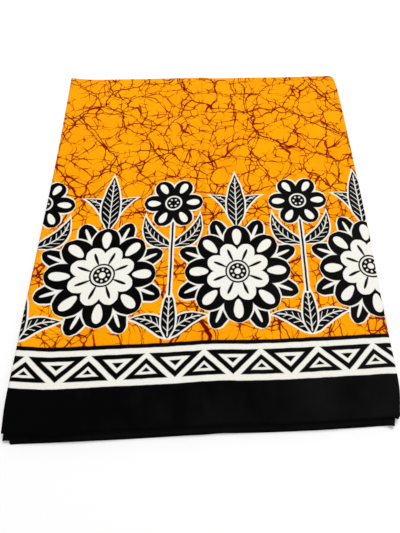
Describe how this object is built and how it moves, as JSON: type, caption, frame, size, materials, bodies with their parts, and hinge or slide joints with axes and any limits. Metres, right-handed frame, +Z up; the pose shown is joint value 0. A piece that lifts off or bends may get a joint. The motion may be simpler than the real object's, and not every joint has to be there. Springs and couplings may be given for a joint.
{
  "type": "folded batik sarong",
  "caption": "Folded cotton batik sarong lying flat, with rounded folds at the side and far edges and stepped hem edges in front.",
  "frame": {"origin": "middle of the flat underside, on the surface that the folded cloth lies on", "axes": "+X to the right along the hem edges, +Y from the hem edges towards the far fold, +Z up"},
  "size_m": [0.4636, 0.597, 0.012],
  "materials": {
    "printed_cotton": "matte plain-weave cotton, dyed orange with dark red crackle and a black and cream border"
  },
  "bodies": {
    "root": {"face_panel": "printed_cotton", "lower_hem_strip": "printed_cotton", "inner_layers": "printed_cotton", "back_panel": "printed_cotton"}
  },
  "joints": []
}
